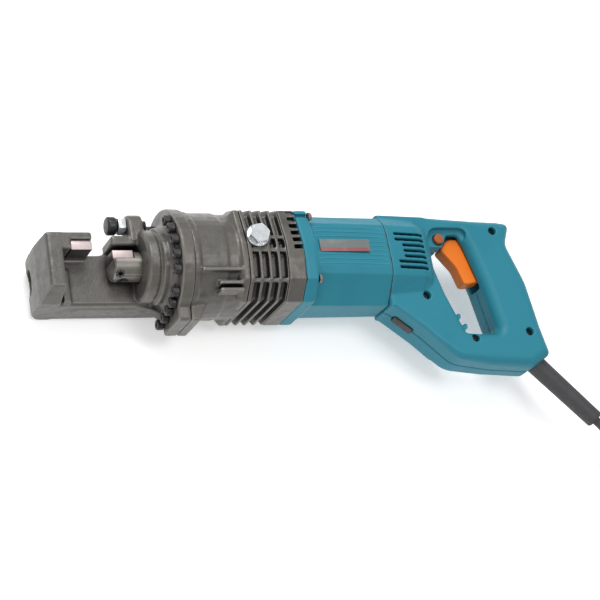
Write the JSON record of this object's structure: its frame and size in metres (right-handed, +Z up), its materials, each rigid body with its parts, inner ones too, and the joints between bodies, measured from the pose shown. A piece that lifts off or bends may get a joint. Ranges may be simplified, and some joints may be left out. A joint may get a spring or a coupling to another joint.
{
  "type": "rebar cutter",
  "caption": "Hand-held electro-hydraulic rebar cutter lying on its side, with an open jaw, ram-driven shear blade, finned pump case, motor and D-handle.",
  "frame": {"origin": "on the ground plane, at the middle of the pump case's side flat that the tool lies on, straight below the tool's axis", "axes": "+X along the tool's axis from the jaw to the handle, +Y across the tool away from the grip's lower end, +Z up, towards the open side of the jaw"},
  "size_m": [0.6557, 0.2746, 0.1016],
  "materials": {
    "cast_iron": "rough cast, grey-brown, slightly oily",
    "tool_steel": "ground",
    "dark_steel": "black oxide",
    "bright_steel": "turned",
    "zinc": "bright zinc plate",
    "rubber": "matt",
    "green_plastic": "fine moulded texture",
    "orange_plastic": "satin",
    "brown_plastic": "satin",
    "black_plastic": "matt",
    "badge": "printed plate, blank",
    "copper": "lacquered windings"
  },
  "bodies": {
    "tool": {"cord_coil": "rubber", "cord_guard": "rubber", "cord_lead": "rubber", "cord_tail": "rubber", "crankshaft_bearing": "bright_steel", "cylinder_case": "cast_iron", "far_brush": "black_plastic", "fixed_blade": "tool_steel", "fixed_blade_bolt": "dark_steel", "flange_bolt_01": "dark_steel", "flange_bolt_02": "dark_steel", "flange_bolt_03": "dark_steel", "flange_bolt_04": "dark_steel", "flange_bolt_05": "dark_steel", "flange_bolt_06": "dark_steel", "flange_bolt_07": "dark_steel", "flange_bolt_08": "dark_steel", "flange_bolt_09": "dark_steel", "flange_bolt_10": "dark_steel", "front_bearing": "bright_steel", "gear_case": "cast_iron", "handle_far_shell": "green_plastic", "handle_near_shell": "green_plastic", "handle_screw_1": "dark_steel", "handle_screw_2": "dark_steel", "handle_screw_3": "dark_steel", "handle_screw_4": "dark_steel", "jaw_frame": "cast_iron", "motor_housing": "green_plastic", "motor_screw_1": "bright_steel", "motor_screw_2": "bright_steel", "motor_screw_3": "bright_steel", "motor_screw_4": "bright_steel", "name_plate": "badge", "near_brush": "black_plastic", "oil_plug": "zinc", "plug": "rubber", "pump_barrel": "bright_steel", "pump_case": "cast_iron", "pump_plunger": "bright_steel", "rear_bearing": "bright_steel", "rod_wiper": "rubber", "stator": "copper", "stopper_nut": "zinc", "strut_insert": "rubber", "switch_body": "black_plastic"},
    "ram": {"ram": "bright_steel", "piston_seal": "rubber", "moving_blade": "tool_steel", "moving_blade_bolt": "dark_steel", "ram_set_screw": "dark_steel", "return_spring": "bright_steel"},
    "armature": {"armature": "bright_steel", "fan": "black_plastic"},
    "crankshaft": {"crankshaft": "bright_steel", "crankshaft_gear": "bright_steel"},
    "trigger": {"trigger": "orange_plastic"},
    "lock_button": {"lock_button": "brown_plastic"},
    "stopper": {"stopper_bolt": "dark_steel"}
  },
  "joints": [
    {"name": "ram_slide", "type": "slide", "parent": "tool", "child": "ram", "axis": [-1, 0, 0], "range_m": [0, 0.0183]},
    {"name": "armature_spin", "type": "hinge", "parent": "tool", "child": "armature", "pos_m": [0.06, 0, 0.047], "axis": [1, 0, 0], "continuous": true},
    {"name": "crankshaft_spin", "type": "hinge", "parent": "tool", "child": "crankshaft", "pos_m": [0, -0.02, 0.047], "axis": [1, 0, 0], "continuous": true},
    {"name": "trigger_pull", "type": "hinge", "parent": "tool", "child": "trigger", "pos_m": [0.2077, 0.02, 0.047], "axis": [0, 0, 1], "range_deg": [0, 8], "stiffness_Nm_per_rad": 0.6, "springref_deg": -11.46},
    {"name": "lock_press", "type": "slide", "parent": "tool", "child": "lock_button", "axis": [0, 0, -1], "range_m": [0, 0.003], "stiffness_N_per_m": 300, "springref_m": -0.002},
    {"name": "stopper_adjust", "type": "slide", "parent": "tool", "child": "stopper", "axis": [-1, 0, 0], "range_m": [-0.001, 0.008]}
  ],
  "couplings": [
    {"joint": "crankshaft_spin", "follows": "armature_spin", "ratio": -0.33333}
  ]
}
